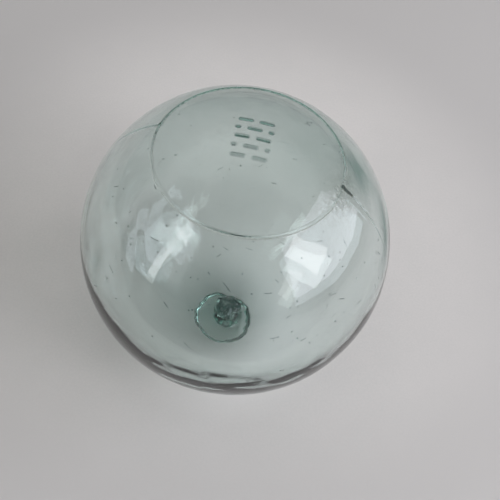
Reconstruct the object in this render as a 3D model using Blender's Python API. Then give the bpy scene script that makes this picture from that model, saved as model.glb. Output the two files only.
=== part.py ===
"""Sealed glass float ball, blown in a mould, standing on the dab of glass that closes its blow hole.

Frame: metres, +Z up along the float's axis, origin on the surface it stands on, under the middle.
The ball is one solid, because the real one is sealed and nothing ever goes into it.
"""
import math

import bmesh
import bpy
from mathutils import Matrix, Vector

# The ball
BALL_DIAMETER = 0.127       # outside of the glass
FACET = 0.0046              # length of a facet along the surface

# The round seam that the mould's top plate leaves
PLATE_ARC = 0.0377          # from the top of the ball to the seam, measured over the glass
RING_WIDTH = 0.0013
RING_HEIGHT = 0.0005

# The two side seams, where the half moulds meet
SIDE_SEAM_AZIMUTHS = (math.radians(-10), math.radians(166))
SIDE_SEAM_WIDTH = 0.0010
SIDE_SEAM_HEIGHT = 0.0003
SEAM_STOP = 0.016           # bare glass between a side seam's end and the seal
SEAM_FADE = 0.020           # length over which a side seam melts away before it ends

# The raised mark on the top plate, rows of plain strokes
MARK_ROWS = 5
MARK_TURN = math.radians(-3)
ROW_PITCH = 0.0044
STROKE_WIDTH = 0.0018
STROKE_HEIGHT = 0.0009
LONG_STROKE = 0.0040        # between the middles of its round ends
SHORT_STROKE = 0.0006       # the same
STROKE_GAP = 0.0020         # clear glass between two strokes of a row

# The seal under the ball
SEAL_DIAMETER = 0.0268      # mean width of its outline
SEAL_THICKNESS = 0.0030     # from its flat foot to the bottom of the ball
SEAL_ROUNDING = 0.0030      # width of its rounded edge
SEAL_SHIFT = 0.0007         # how far the dab landed off the float's axis
SEAL_SHIFT_AZIMUTH = math.radians(70)
SEAL_LOBES = 0.0005         # how far the outline's broad lobes stand out
SEAL_RIPPLES = 0.0002       # how far its small ripples stand out
FUSED_GAP = 0.0003          # between the seal and the ball

# Finish of the glass
BALL_TINT = (0.72, 0.86, 0.82, 1.0)
SEAL_TINT = (0.34, 0.55, 0.52, 1.0)
GLASS_ROUGHNESS = 0.03
GLASS_IOR = 1.5

# Worked out from the sizes above
RADIUS = BALL_DIAMETER / 2
CENTRE = Vector((0.0, 0.0, SEAL_THICKNESS + RADIUS))
RING_POLAR = PLATE_ARC / RADIUS
SEAL_RADIUS = SEAL_DIAMETER / 2
SEAM_END = SEAL_RADIUS + SEAL_SHIFT + SEAL_LOBES + SEAL_RIPPLES + SEAM_STOP

# A ridge's outline is read at these steps, from one edge over its crest to the other
RIDGE_STEPS = (-1.0, -0.5, 0.0, 0.5, 1.0)
STROKE_SIDES = 10
STROKE_CAP_STEPS = 3

# The seal's outline, as (waves in a turn, share, phase), and the rows of its skin
LOBE_WAVES = ((5, 0.8, -2.25), (2, 0.6, 3.04))
RIPPLE_WAVES = ((4, 1.0, -1.8), (7, 0.8, 0.0))
SEAL_SIDES = 40
SEAL_BED_STEPS = 3
SEAL_EDGE_STEPS = 5


def clear_scene():
    """Remove whatever the file starts with."""
    for old in list(bpy.data.objects):
        bpy.data.objects.remove(old)


def ridge(offset):
    """Height of a rounded ridge, 1 at its crest and 0 from one half width outwards."""
    return max(0.0, 1.0 - offset * offset)


def smooth(value):
    """Ease from 0 to 1 as value goes from 0 to 1."""
    held = min(1.0, max(0.0, value))
    return held * held * (3.0 - 2.0 * held)


def turn_between(first, second):
    """Smallest turn between two azimuths."""
    return abs((first - second + math.pi) % math.tau - math.pi)


def seam_strength(polar):
    """How much of a side seam is left at a polar angle: all of it below the plate, none near the seal."""
    if polar < RING_POLAR:
        return 0.0
    arc_from_bottom = (math.pi - polar) * RADIUS
    return smooth((arc_from_bottom - SEAM_END) / SEAM_FADE)


def glass_radius(polar, azimuth):
    """Distance from the ball's centre to its surface, with the seams standing proud of the sphere."""
    ring = RING_HEIGHT * ridge((polar - RING_POLAR) * RADIUS / (RING_WIDTH / 2))
    strength = seam_strength(polar)
    side = 0.0
    if strength > 0.0:
        nearest = min(turn_between(azimuth, seam) for seam in SIDE_SEAM_AZIMUTHS)
        offset = nearest * RADIUS * math.sin(polar) / (SIDE_SEAM_WIDTH / 2)
        side = SIDE_SEAM_HEIGHT * strength * ridge(offset)
    return RADIUS + max(ring, side)


def row_polars():
    """Polar angles of the ball's rows: even over the plate and below it, and close over the ring seam."""
    half = RING_WIDTH / 2 / RADIUS
    inner, outer = RING_POLAR - half, RING_POLAR + half
    plate_rows = round(inner * RADIUS / FACET)
    side_rows = round((math.pi - outer) * RADIUS / FACET)
    plate = [inner * k / plate_rows for k in range(1, plate_rows)]
    ring = [RING_POLAR + half * step for step in RIDGE_STEPS]
    sides = [outer + (math.pi - outer) * k / side_rows for k in range(1, side_rows)]
    return plate + ring + sides


def row_azimuths(polar):
    """Azimuths of one row's points: even round the ball, and close together over a side seam."""
    round_length = math.tau * RADIUS * math.sin(polar)
    quarter = max(2, round(round_length / FACET / 4))
    even = [math.tau * k / (4 * quarter) for k in range(4 * quarter)]
    if seam_strength(polar) == 0.0:
        return even
    half = SIDE_SEAM_WIDTH / 2 / (RADIUS * math.sin(polar))
    clear = [a for a in even if all(turn_between(a, seam) > 2 * half for seam in SIDE_SEAM_AZIMUTHS)]
    crest = [(seam + half * step) % math.tau for seam in SIDE_SEAM_AZIMUTHS for step in RIDGE_STEPS]
    return sorted(clear + crest)


def zip_rows(mesh, upper, lower):
    """Fill the band between two rows with triangles, stepping along whichever row lags behind."""
    def angle_after(row, step):
        return row[(step + 1) % len(row)][0] + math.tau * ((step + 1) // len(row))

    upper_steps = len(upper) if len(upper) > 1 else 0
    lower_steps = len(lower) if len(lower) > 1 else 0
    i = j = 0
    while i < upper_steps or j < lower_steps:
        above, below = upper[i % len(upper)][1], lower[j % len(lower)][1]
        upper_lags = i < upper_steps and (j >= lower_steps or angle_after(upper, i) <= angle_after(lower, j))
        if upper_lags:
            i += 1
            onward = upper[i % len(upper)][1]
        else:
            j += 1
            onward = lower[j % len(lower)][1]
        mesh.faces.new((above, below, onward))


def skin(rows):
    """Closed mesh over rows of (angle, point) that run from one pole to the other.

    A pole is a row of one point. Each row may have as many points as its size needs.
    """
    mesh = bmesh.new()
    rings = [[(angle, mesh.verts.new(point)) for angle, point in row] for row in rows]
    for upper, lower in zip(rings, rings[1:]):
        zip_rows(mesh, upper, lower)
    return mesh


def on_ball(polar, azimuth, radius):
    """Point at a polar angle and an azimuth, radius away from the ball's centre."""
    across = radius * math.sin(polar)
    return CENTRE + Vector((across * math.cos(azimuth), across * math.sin(azimuth), radius * math.cos(polar)))


def ball_mesh():
    """The whole ball, with the ring seam and the two side seams."""
    rows = [[(0.0, on_ball(0.0, 0.0, RADIUS))]]
    for polar in row_polars():
        rows.append([(a, on_ball(polar, a, glass_radius(polar, a))) for a in row_azimuths(polar)])
    rows.append([(0.0, on_ball(math.pi, 0.0, RADIUS))])
    return skin(rows)


def stroke_mesh(span):
    """A bar along X with round ends, span between the middles of the ends, half sunk at z = 0."""
    def cross_row(x, scale):
        angles = [math.tau * k / STROKE_SIDES for k in range(STROKE_SIDES)]
        half_width, height = STROKE_WIDTH / 2 * scale, STROKE_HEIGHT * scale
        return [(a, Vector((x, half_width * math.cos(a), height * math.sin(a)))) for a in angles]

    bends = [math.pi / 2 * k / STROKE_CAP_STEPS for k in range(1, STROKE_CAP_STEPS + 1)]
    reach = STROKE_WIDTH / 2
    front = [cross_row(span / 2 + reach * math.cos(bend), math.sin(bend)) for bend in bends]
    back = [cross_row(-span / 2 - reach * math.cos(bend), math.sin(bend)) for bend in reversed(bends)]
    tip = span / 2 + reach
    return skin([[(0.0, Vector((tip, 0, 0)))]] + front + back + [[(0.0, Vector((-tip, 0, 0)))]])


def stroke_places():
    """Middle and span of every stroke.

    Rows of two long strokes take turns with rows of a long one between two short ones.
    """
    long_step = LONG_STROKE + STROKE_WIDTH + STROKE_GAP
    short_step = (LONG_STROKE + SHORT_STROKE) / 2 + STROKE_WIDTH + STROKE_GAP
    places = []
    for row in range(MARK_ROWS):
        y = (row - (MARK_ROWS - 1) / 2) * ROW_PITCH
        if row % 2 == 0:
            places += [(-long_step / 2, y, LONG_STROKE), (long_step / 2, y, LONG_STROKE)]
        else:
            places += [(-short_step, y, SHORT_STROKE), (0.0, y, LONG_STROKE), (short_step, y, SHORT_STROKE)]
    return places


def mark_mesh():
    """All strokes of the mark, each lying on the ball with its round top proud of the glass."""
    mark = bmesh.new()
    for x, y, span in stroke_places():
        stroke = stroke_mesh(span)
        lean = Matrix.Rotation(x / RADIUS, 4, "Y") @ Matrix.Rotation(-y / RADIUS, 4, "X")
        lift = Matrix.Translation((0.0, 0.0, RADIUS))
        stroke.transform(Matrix.Translation(CENTRE) @ Matrix.Rotation(MARK_TURN, 4, "Z") @ lean @ lift)
        loose = bpy.data.meshes.new("stroke")
        stroke.to_mesh(loose)
        stroke.free()
        mark.from_mesh(loose)
        bpy.data.meshes.remove(loose)
    return mark


def waves(azimuth, terms):
    """Sum of waves round an outline, each given as (waves in a turn, share, phase)."""
    return sum(share * math.sin(count * azimuth + phase) for count, share, phase in terms)


def seal_outline(azimuth):
    """Radius of the seal's outline: a round dab off the axis, with broad lobes and smaller ripples."""
    shift = SEAL_SHIFT * math.cos(azimuth - SEAL_SHIFT_AZIMUTH)
    lobes = SEAL_LOBES * waves(azimuth, LOBE_WAVES)
    ripples = SEAL_RIPPLES * waves(azimuth, RIPPLE_WAVES)
    return SEAL_RADIUS + shift + lobes + ripples


def bed_height(radius):
    """Height of the seal's hollow top, which follows the ball at the fused gap."""
    bed = RADIUS + FUSED_GAP
    return CENTRE.z - math.sqrt(bed * bed - radius * radius)


def seal_point(azimuth, step):
    """Point of the seal's skin: step 0 is the middle of its top, 1 its outline and 2 the foot's edge."""
    edge = seal_outline(azimuth)
    if step <= 1.0:
        radius = edge * step
        height = bed_height(radius)
    else:
        bend = math.pi / 2 * (step - 1.0)
        radius = edge - SEAL_ROUNDING * (1.0 - math.cos(bend))
        height = bed_height(edge) * (1.0 - math.sin(bend))
    return Vector((radius * math.cos(azimuth), radius * math.sin(azimuth), height))


def seal_mesh():
    """The dab of glass under the ball: hollowed to the ball above, rounded at its edge and flat below."""
    angles = [math.tau * k / SEAL_SIDES for k in range(SEAL_SIDES)]
    steps = [k / SEAL_BED_STEPS for k in range(1, SEAL_BED_STEPS + 1)]
    steps += [1.0 + k / SEAL_EDGE_STEPS for k in range(1, SEAL_EDGE_STEPS + 1)]
    top = [(0.0, seal_point(0.0, 0.0))]
    foot = [(0.0, Vector((0.0, 0.0, 0.0)))]
    return skin([top] + [[(a, seal_point(a, step)) for a in angles] for step in steps] + [foot])


def glass(name, tint):
    """Clear tinted glass."""
    material = bpy.data.materials.new(name)
    material.use_nodes = True
    shader = material.node_tree.nodes["Principled BSDF"]
    shader.inputs["Base Color"].default_value = tint
    shader.inputs["Roughness"].default_value = GLASS_ROUGHNESS
    shader.inputs["Metallic"].default_value = 0.0
    shader.inputs["Transmission Weight"].default_value = 1.0
    shader.inputs["IOR"].default_value = GLASS_IOR
    return material


def add_object(name, shape, material=None):
    """Turn a bmesh into an object of the scene, shaded smooth."""
    mesh = bpy.data.meshes.new(name)
    shape.to_mesh(mesh)
    shape.free()
    mesh.shade_smooth()
    if material is not None:
        mesh.materials.append(material)
    made = bpy.data.objects.new(name, mesh)
    bpy.context.scene.collection.objects.link(made)
    return made


def build_ball():
    """The ball with the mark's strokes grown onto its top."""
    ball = add_object("glass_ball", ball_mesh(), glass("blown_glass", BALL_TINT))
    strokes = add_object("mark_strokes", mark_mesh())
    strokes.hide_render = True
    strokes.display_type = "WIRE"
    union = ball.modifiers.new("raised_mark", "BOOLEAN")
    union.operation = "UNION"
    union.solver = "EXACT"
    union.object = strokes
    return ball


def build_seal():
    """The seal, in the thicker and darker glass of the dab."""
    return add_object("seal_button", seal_mesh(), glass("seal_glass", SEAL_TINT))


clear_scene()
build_ball()
build_seal()
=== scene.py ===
"""Glass float ball, blown in a mould and sealed with a dab of glass: its looks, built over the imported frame.

The float is one closed body of clear sea-green glass with a hollow inside. Its outside carries the mould's
seams and a raised mark, its inside is the free wavy skin of the blown bubble, and the seal below closes both.
Lengths are in metres, and millimetres are written as a number times MM.
"""

import logging
import math
from dataclasses import dataclass, field
from enum import Enum

import bpy
import numpy as np
from mathutils import Matrix, Vector

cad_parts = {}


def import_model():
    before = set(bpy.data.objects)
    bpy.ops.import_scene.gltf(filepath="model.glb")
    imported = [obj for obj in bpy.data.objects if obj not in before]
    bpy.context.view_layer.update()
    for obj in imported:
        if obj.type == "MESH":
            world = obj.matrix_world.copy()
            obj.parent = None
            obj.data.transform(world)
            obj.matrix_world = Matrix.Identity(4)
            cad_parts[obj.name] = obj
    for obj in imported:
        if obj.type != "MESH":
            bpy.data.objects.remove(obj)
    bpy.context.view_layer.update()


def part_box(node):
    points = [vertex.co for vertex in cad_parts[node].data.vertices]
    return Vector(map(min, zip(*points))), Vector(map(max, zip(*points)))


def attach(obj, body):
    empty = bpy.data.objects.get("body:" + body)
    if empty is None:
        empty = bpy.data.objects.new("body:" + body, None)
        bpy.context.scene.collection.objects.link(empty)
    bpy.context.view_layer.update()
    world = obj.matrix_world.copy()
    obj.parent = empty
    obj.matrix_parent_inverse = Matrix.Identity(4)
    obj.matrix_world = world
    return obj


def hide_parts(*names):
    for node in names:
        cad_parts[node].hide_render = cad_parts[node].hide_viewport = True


LOG = logging.getLogger("float_ball")
MM = 0.001
Array = np.ndarray
Socket = bpy.types.NodeSocket
MIDDLE_GREY = (0.5, 0.5, 0.5)
CLEAR = (1.0, 1.0, 1.0, 1.0)
Pair = tuple[float, float]
Triple = tuple[float, float, float]
Colour = tuple[float, float, float, float]
Sine = tuple[int, float, float]


def srgb(code: str) -> Colour:
    """Turn an sRGB hex colour into linear light.

    Args:
        code: six hex digits, red first.

    Returns:
        Linear red, green, blue and an alpha of 1.
    """
    parts = [int(code[i:i + 2], 16) / 255 for i in (0, 2, 4)]
    linear = [p / 12.92 if p <= 0.04045 else ((p + 0.055) / 1.055) ** 2.4 for p in parts]
    return (linear[0], linear[1], linear[2], 1.0)


def ease(value: Array, low: float = 0.0, high: float = 1.0) -> Array:
    """Ease from 0 to 1 as value goes from low to high, flat at both ends: 3 t squared minus 2 t cubed."""
    held = np.clip((value - low) / (high - low), 0.0, 1.0)
    return held * held * (3.0 - 2.0 * held)


def bell(value: Array) -> Array:
    """Bell curve, 1 at 0: e to the minus value squared."""
    return np.exp(-value ** 2)


def turned(azimuth: Array, towards: float) -> Array:
    """Signed turn from one azimuth to others, between minus and plus half a turn."""
    return (azimuth - towards + math.pi) % math.tau - math.pi


def sphere_point(polar: Array, azimuth: Array) -> Array:
    """Unit vectors at polar angles from +Z and azimuths from +X, as an array with a last side of three."""
    reach = np.sin(polar)
    return np.stack((reach * np.cos(azimuth), reach * np.sin(azimuth), np.cos(polar)), axis=-1)


def polar_of(way: Array) -> Array:
    """Angles between unit vectors and +Z."""
    return np.arccos(np.clip(way[..., 2], -1.0, 1.0))


def sines_round(azimuth: Array, sines: tuple[Sine, ...]) -> Array:
    """Sum of sines round the axis, each given by its waves in a turn, its share and its phase."""
    return sum(share * np.sin(count * azimuth + phase) for count, share, phase in sines)


@dataclass(frozen=True)
class Ripples:
    """Unevenness of hand-blown glass, as a sum of plane waves in many directions.

    Each wave is a sine of the point's place along a random direction over the wave's length. The squash
    favours directions along one axis, which lays the waves in bands across it.
    """

    seed: int
    height: float
    longest: float
    shortest: float
    waves: int = 18
    squash: Triple = (1.0, 1.0, 1.0)

    def at(self, points: Array) -> Array:
        """Height of the ripples.

        Args:
            points: places in metres, with a last side of three.

        Returns:
            The ripple's height in metres at each place, about plus or minus the height field.
        """
        draw = np.random.default_rng(self.seed)
        ways = draw.normal(size=(3, self.waves)) * np.array(self.squash)[:, None]
        ways /= np.linalg.norm(ways, axis=0)
        lengths = self.longest * (self.shortest / self.longest) ** draw.random(self.waves)
        phases = draw.random(self.waves) * math.tau
        share = lengths / lengths.max()
        waves = np.sin(points @ (ways * math.tau / lengths) + phases) * share
        return self.height * waves.sum(axis=-1) / math.sqrt((share ** 2).sum())


@dataclass
class Skin:
    """A closed surface over a grid of points: rows run from a first pole to a last one, columns go round."""

    grid: Array
    first_pole: Array
    last_pole: Array
    coats: dict[str, Array] = field(default_factory=dict)
    inward: bool = False

    def triangles(self, offset: int) -> Array:
        """Corners of the triangles.

        Args:
            offset: how many points of other skins come before this one's.

        Returns:
            Rows of three point numbers, facing out, or into the hollow on an inward skin.
        """
        rows, columns = self.grid.shape[:2]
        number = 2 + np.arange(rows * columns).reshape(rows, columns)
        onward = np.roll(number, -1, axis=1)
        upper, upper_on = number[:-1].ravel(), onward[:-1].ravel()
        lower, lower_on = number[1:].ravel(), onward[1:].ravel()
        first = np.stack((np.zeros(columns, int), number[0], onward[0]), axis=1)
        last = np.stack((np.ones(columns, int), onward[-1], number[-1]), axis=1)
        bands = np.concatenate((
            first,
            np.stack((upper, lower, upper_on), axis=1),
            np.stack((upper_on, lower, lower_on), axis=1),
            last,
        ))
        return offset + (bands[:, ::-1] if self.inward else bands)

    def points(self) -> Array:
        """All points, the two poles first."""
        return np.concatenate((self.first_pole[None], self.last_pole[None], self.grid.reshape(-1, 3)))

    def coat(self, name: str) -> Array:
        """A coat's value at each point, the two poles first, and 0 where the skin has no such coat."""
        values = self.coats.get(name, np.zeros(self.grid.shape[:2]))
        return np.concatenate((values[:1].mean(axis=1), values[-1:].mean(axis=1), values.ravel()))


class Coat(Enum):
    """What a point's attributes tell the glass."""

    OUTER = "outer"
    # Grime, with painted shade on the ring's feet at the back
    GRIME_AND_SHADE = "grime"
    # Darker glass at the knob's end
    KNOB_END = "knob_end_dark"
    # Greener cords, and painted shade on the strokes, the ring's back, the plate and the front belt
    CORD_AND_SHADE = "cord_and_shade"


def mesh_of(name: str, skins: list[Skin]) -> bpy.types.Object:
    """Join closed skins into one smooth mesh object at the origin.

    Args:
        name: the piece's name.
        skins: the surfaces, each closed by its poles.

    Returns:
        The new object, with each coat kept as an attribute of its points.
    """
    counts = np.cumsum([0] + [len(skin.points()) for skin in skins])
    place = np.concatenate([skin.points() for skin in skins])
    corner = np.concatenate([skin.triangles(int(count)) for skin, count in zip(skins, counts)])
    mesh = bpy.data.meshes.new(name)
    mesh.vertices.add(len(place))
    mesh.vertices.foreach_set("co", place.astype(np.float32).ravel())
    mesh.loops.add(corner.size)
    mesh.loops.foreach_set("vertex_index", corner.astype(np.int32).ravel())
    mesh.polygons.add(len(corner))
    mesh.polygons.foreach_set("loop_start", np.arange(0, corner.size, 3, dtype=np.int32))
    mesh.update(calc_edges=True)
    mesh.validate()
    mesh.shade_smooth()
    for coat in Coat:
        layer = mesh.attributes.new(coat.value, "FLOAT", "POINT")
        values = np.concatenate([skin.coat(coat.value) for skin in skins])
        layer.data.foreach_set("value", values.astype(np.float32))
    made = bpy.data.objects.new(name, mesh)
    bpy.context.scene.collection.objects.link(made)
    return made


class Stroke(Enum):
    """The two strokes of the raised mark, each by its length between the middles of its round ends."""

    LONG = 4.0 * MM
    SHORT = 0.6 * MM


@dataclass
class RaisedMark:
    """The mark on the top plate: plain strokes in staggered rows, raised and rounded."""

    radius: float
    turn: float = math.radians(-3)
    rows: int = 5
    row_pitch: float = 4.4 * MM
    stroke_width: float = 1.8 * MM
    stroke_gap: float = 2.0 * MM
    stroke_height: float = 0.5 * MM
    crest: float = 0.15
    skirt: float = 1.3

    def strokes(self) -> list[Triple]:
        """Places of the strokes: rows of two long ones take turns with rows of a long one between short ones.

        Returns:
            Each stroke's middle, over the glass from the top of the ball, and its span.
        """
        pitch = self.stroke_width + self.stroke_gap
        wide = Stroke.LONG.value + pitch
        narrow = (Stroke.LONG.value + Stroke.SHORT.value) / 2 + pitch
        places = []
        for row in range(self.rows):
            y = (row - (self.rows - 1) / 2) * self.row_pitch
            if row % 2 == 0:
                places += [(side * wide / 2, y, Stroke.LONG.value) for side in (-1, 1)]
            else:
                places += [(side * narrow, y, Stroke.SHORT.value) for side in (-1, 1)]
                places.append((0.0, y, Stroke.LONG.value))
        return places

    def relief(self, polar: Array, azimuth: Array) -> Array:
        """Height of the mark over the plate.

        A stroke's height eases down from its middle line to its edge, with a soft fillet onto the plate.

        Args:
            polar: angles from the top of the ball.
            azimuth: angles round it.

        Returns:
            Heights in metres, 0 outside the strokes.
        """
        x = self.radius * polar * np.cos(azimuth - self.turn)
        y = self.radius * polar * np.sin(azimuth - self.turn)
        height = np.zeros_like(x)
        for middle_x, middle_y, span in self.strokes():
            along = np.maximum(np.abs(x - middle_x) - span / 2, 0.0)
            away = np.hypot(along, y - middle_y) / (self.stroke_width / 2)
            height = np.maximum(height, self.stroke_height * (1.0 - ease(away, self.crest, self.skirt)))
        return height


@dataclass
class MouldSeams:
    """The lines the mould left: the ring round the top plate, and the two joints of the half moulds."""

    radius: float
    plate_arc: float = 37.7 * MM
    ring_width: float = 0.95 * MM
    ring_height: float = 0.34 * MM
    plate_step: float = 0.08 * MM
    ring_jog: float = 0.35 * MM
    kink_azimuths: Pair = (math.radians(-151), math.radians(5))
    kink_shift: float = 0.4 * MM
    kink_reach: float = math.radians(3.5)
    side_azimuths: Pair = (math.radians(-10), math.radians(166))
    side_width: float = 0.9 * MM
    side_height: float = 0.24 * MM
    ring_steepness: float = 1.25
    side_steepness: float = 2.5
    worn_from: float = 46 * MM
    worn_to: float = 72 * MM
    worn_left: float = 0.06
    knot_height: float = 0.28 * MM
    knot_reach: float = 0.8 * MM
    # Painted shade on the ring's ridge: none in front, full at the back, where one looks along it
    tint: float = 0.95
    ring_shade_reach: float = 0.62
    ring_shade_sides: Pair = (-0.35, 0.5)

    @property
    def ring_polar(self) -> float:
        """Polar angle of the ring seam."""
        return self.plate_arc / self.radius

    def relief(self, polar: Array, azimuth: Array) -> Array:
        """Height of the seams over the ball.

        The ring is a rounded ridge whose two halves are offset by a jog where the half moulds meet, with two
        small kinks, and the plate inside it stands a little lower. A side seam is a rounded ridge along a
        meridian, sharp at the ring and nearly melted away further down. A knot of glass sits at each meeting.

        Args:
            polar: angles from the top of the ball.
            azimuth: angles round it.

        Returns:
            Heights in metres, slightly below 0 inside the ring.
        """
        right, left = self.side_azimuths
        nearer = (azimuth - left) % math.tau < (right - left) % math.tau
        path = np.where(nearer, 0.5, -0.5) * self.ring_jog
        for kink in self.kink_azimuths:
            path = path + self.kink_shift * bell(turned(azimuth, kink) / self.kink_reach)
        down = polar * self.radius
        away = (down - self.plate_arc - path) / (self.ring_width / 2)
        ring = self.ring_height * bell(self.ring_steepness * away)
        beyond = ease(away, -0.5, 0.5)
        kept = 1.0 - (1.0 - self.worn_left) * ease(down, self.worn_from, self.worn_to)
        nearest = np.minimum(np.abs(turned(azimuth, right)), np.abs(turned(azimuth, left)))
        aside = nearest * self.radius * np.sin(polar)
        side = self.side_height * bell(self.side_steepness * aside / self.side_width) * beyond * kept
        knot = self.knot_height * bell(np.hypot(aside, down - self.plate_arc) / self.knot_reach)
        return np.maximum(ring, side) + knot - self.plate_step * (1.0 - beyond)

    def ring_back_shade(self, polar: Array, azimuth: Array) -> Array:
        """How much painted shade darkens the ring's ridge, where one looks along it.

        It is a bell across the ridge, and eases from none in front to full at the back.

        Args:
            polar: angles from the top of the ball.
            azimuth: angles round it.

        Returns:
            Values from 0 to the field tint.
        """
        back = ease(np.sin(azimuth), *self.ring_shade_sides)
        away = (polar * self.radius - self.plate_arc) / (self.ring_shade_reach * self.ring_width)
        return self.tint * back * bell(away)


@dataclass
class SealDab:
    """The dab of glass that closes the blow hole: a flat-footed button outside and a rough knob inside."""

    centre_z: float
    radius: float
    mean_radius: float = 13.4 * MM
    shift: float = 0.7 * MM
    shift_azimuth: float = math.radians(70)
    lobes: float = 0.5 * MM
    ripples: float = 0.2 * MM
    nicks: float = 0.13 * MM
    lobe_sines: tuple[Sine, ...] = ((5, 0.8, -2.25), (2, 0.6, 3.04))
    ripple_sines: tuple[Sine, ...] = ((4, 1.0, -1.8), (7, 0.8, 0.0))
    nick_sines: tuple[Sine, ...] = ((11, 1.0, 1.0), (19, 0.8, 2.4))
    rounding: float = 3.0 * MM
    undercut: float = 0.5 * MM
    dish: float = 0.25 * MM
    crease_grime: float = 0.95
    crease_bends: Pair = (-0.2, 0.15)
    edge_rows: int = 18
    foot_rows: int = 14
    knob_rows: int = 42
    knob_radius: float = 6.0 * MM
    knob_fillet: float = 2.0 * MM
    knob_rise: float = 2.6 * MM
    knob_dome: float = 3.2 * MM
    knob_end_heights: Pair = (4.9 * MM, 5.9 * MM)
    knob_place: Pair = (1.9 * MM, 0.6 * MM)
    knob_lean: Pair = (-0.05, 0.42)
    knob_lumps: Ripples = Ripples(seed=41, height=0.42 * MM, longest=8.0 * MM, shortest=3.2 * MM, waves=20)
    knob_foot_lumps: float = 0.2

    def outline(self, azimuth: Array) -> Array:
        """Radius of the button's outline: a round dab off the axis, plus lobes, ripples and small nicks.

        Args:
            azimuth: angles round the float's axis.

        Returns:
            Metres from the axis.
        """
        lobes = self.lobes * sines_round(azimuth, self.lobe_sines)
        ripples = self.ripples * sines_round(azimuth, self.ripple_sines)
        nicks = self.nicks * sines_round(azimuth, self.nick_sines)
        return self.mean_radius + self.shift * np.cos(azimuth - self.shift_azimuth) + lobes + ripples + nicks

    def contact_polar(self, azimuth: Array) -> Array:
        """Polar angle at which the button's edge meets the ball."""
        return math.pi - np.arcsin((self.outline(azimuth) - self.undercut) / self.radius)

    def button(self, azimuth: Array) -> tuple[Array, Array]:
        """Rows of the button's outside, from the crease at the ball round its edge to the middle of its foot.

        The edge is an ellipse from the crease, out to the outline and down to the foot, and the foot is a
        shallow dish whose rim touches the ground.

        Args:
            azimuth: angles of the columns.

        Returns:
            Points with one column for each azimuth and a last side of three, and the grime in the crease.
        """
        outline = self.outline(azimuth)[None, :]
        crease = outline - self.undercut
        top = self.centre_z - np.sqrt(self.radius ** 2 - crease ** 2)
        start = math.acos(1.0 - self.undercut / self.rounding)
        half_height = top / (1.0 + math.sin(start))
        bend = np.linspace(start, -math.pi / 2, self.edge_rows + 1)[1:, None]
        edge_reach = outline - self.rounding * (1.0 - np.cos(bend))
        edge_height = half_height * (1.0 + np.sin(bend))
        inward = np.linspace(1.0, 0.0, self.foot_rows + 2)[1:-1, None]
        foot_reach = (outline - self.rounding) * inward
        foot_height = self.dish * (1.0 - inward ** 2) * np.ones_like(outline)
        reach = np.concatenate((edge_reach, foot_reach))
        height = np.concatenate((edge_height, foot_height))
        crease_grime = self.crease_grime * ease(bend, *self.crease_bends) * np.ones_like(outline)
        grime = np.concatenate((crease_grime, np.zeros_like(foot_height)))
        return np.stack((reach * np.cos(azimuth), reach * np.sin(azimuth), height), axis=-1), grime

    def knob(self, azimuth: Array, floor_z: float) -> tuple[Array, Array]:
        """Rows of the knob inside the ball, from its foot on the inner wall up to its rough end.

        A concave quarter circle leads up from the wall, a short side follows, and a quarter ellipse closes
        the end. The whole leans with its height, and small lumps make it rough.

        Args:
            azimuth: angles of the columns.
            floor_z: height of the inner wall under the knob.

        Returns:
            Points with one column for each azimuth and a last side of three, and how dark the glass is, full
            at the end.
        """
        step = np.linspace(0.0, 3.0, self.knob_rows + 2)[1:-1, None]
        fillet = np.clip(step, 0.0, 1.0) * math.pi / 2
        side = np.clip(step - 1.0, 0.0, 1.0)
        dome = np.clip(step - 2.0, 0.0, 1.0) * math.pi / 2
        reach = (self.knob_radius + self.knob_fillet * (1.0 - np.sin(fillet))) * np.cos(dome)
        height = self.knob_fillet * (1.0 - np.cos(fillet)) + self.knob_rise * side
        height = height + self.knob_dome * np.sin(dome)
        around = np.ones_like(azimuth)[None, :]
        points = np.stack((
            reach * np.cos(azimuth) + self.knob_place[0] + self.knob_lean[0] * height,
            reach * np.sin(azimuth) + self.knob_place[1] + self.knob_lean[1] * height,
            (floor_z + height) * around,
        ), axis=-1)
        grown = ease(height, 0.0, self.knob_fillet) * around
        bumps = self.knob_lumps.at(points) * (self.knob_foot_lumps + (1.0 - self.knob_foot_lumps) * grown)
        outward = np.stack((
            np.cos(azimuth) * np.cos(dome),
            np.sin(azimuth) * np.cos(dome),
            np.sin(dome) * around,
        ), axis=-1)
        knob_end_dark = ease(height, *self.knob_end_heights) * around
        return points + bumps[..., None] * outward, knob_end_dark


@dataclass(frozen=True)
class Swell:
    """A place where the wall is thicker, thinner or greener: a bell of given reach in two directions.

    Polar, azimuth and tilt are in degrees, extra in metres, and reach in ball radii. The cord is the tint's
    strength: greener glass in most swells, and painted shade in the one on the plate. The swell fades out
    where the cosine of the way off its middle falls through near.
    """

    polar: float
    azimuth: float
    extra: float
    reach: Pair
    tilt: float = 0.0
    cord_and_shade: float = 0.0
    near: Pair = (0.1, 0.5)

    def share(self, way: Array) -> Array:
        """How much of the swell there is in each direction.

        Args:
            way: unit vectors from the ball's centre.

        Returns:
            Values from 0 far away to 1 in the middle.
        """
        middle = sphere_point(np.radians(self.polar), np.radians(self.azimuth))
        east = np.array((-math.sin(math.radians(self.azimuth)), math.cos(math.radians(self.azimuth)), 0.0))
        north = np.cross(middle, east)
        turn = math.radians(self.tilt)
        along = way @ (math.cos(turn) * east + math.sin(turn) * north)
        across = way @ (math.cos(turn) * north - math.sin(turn) * east)
        value = bell(np.hypot(along / self.reach[0], across / self.reach[1]))
        return value * ease(way @ middle, *self.near)


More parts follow.
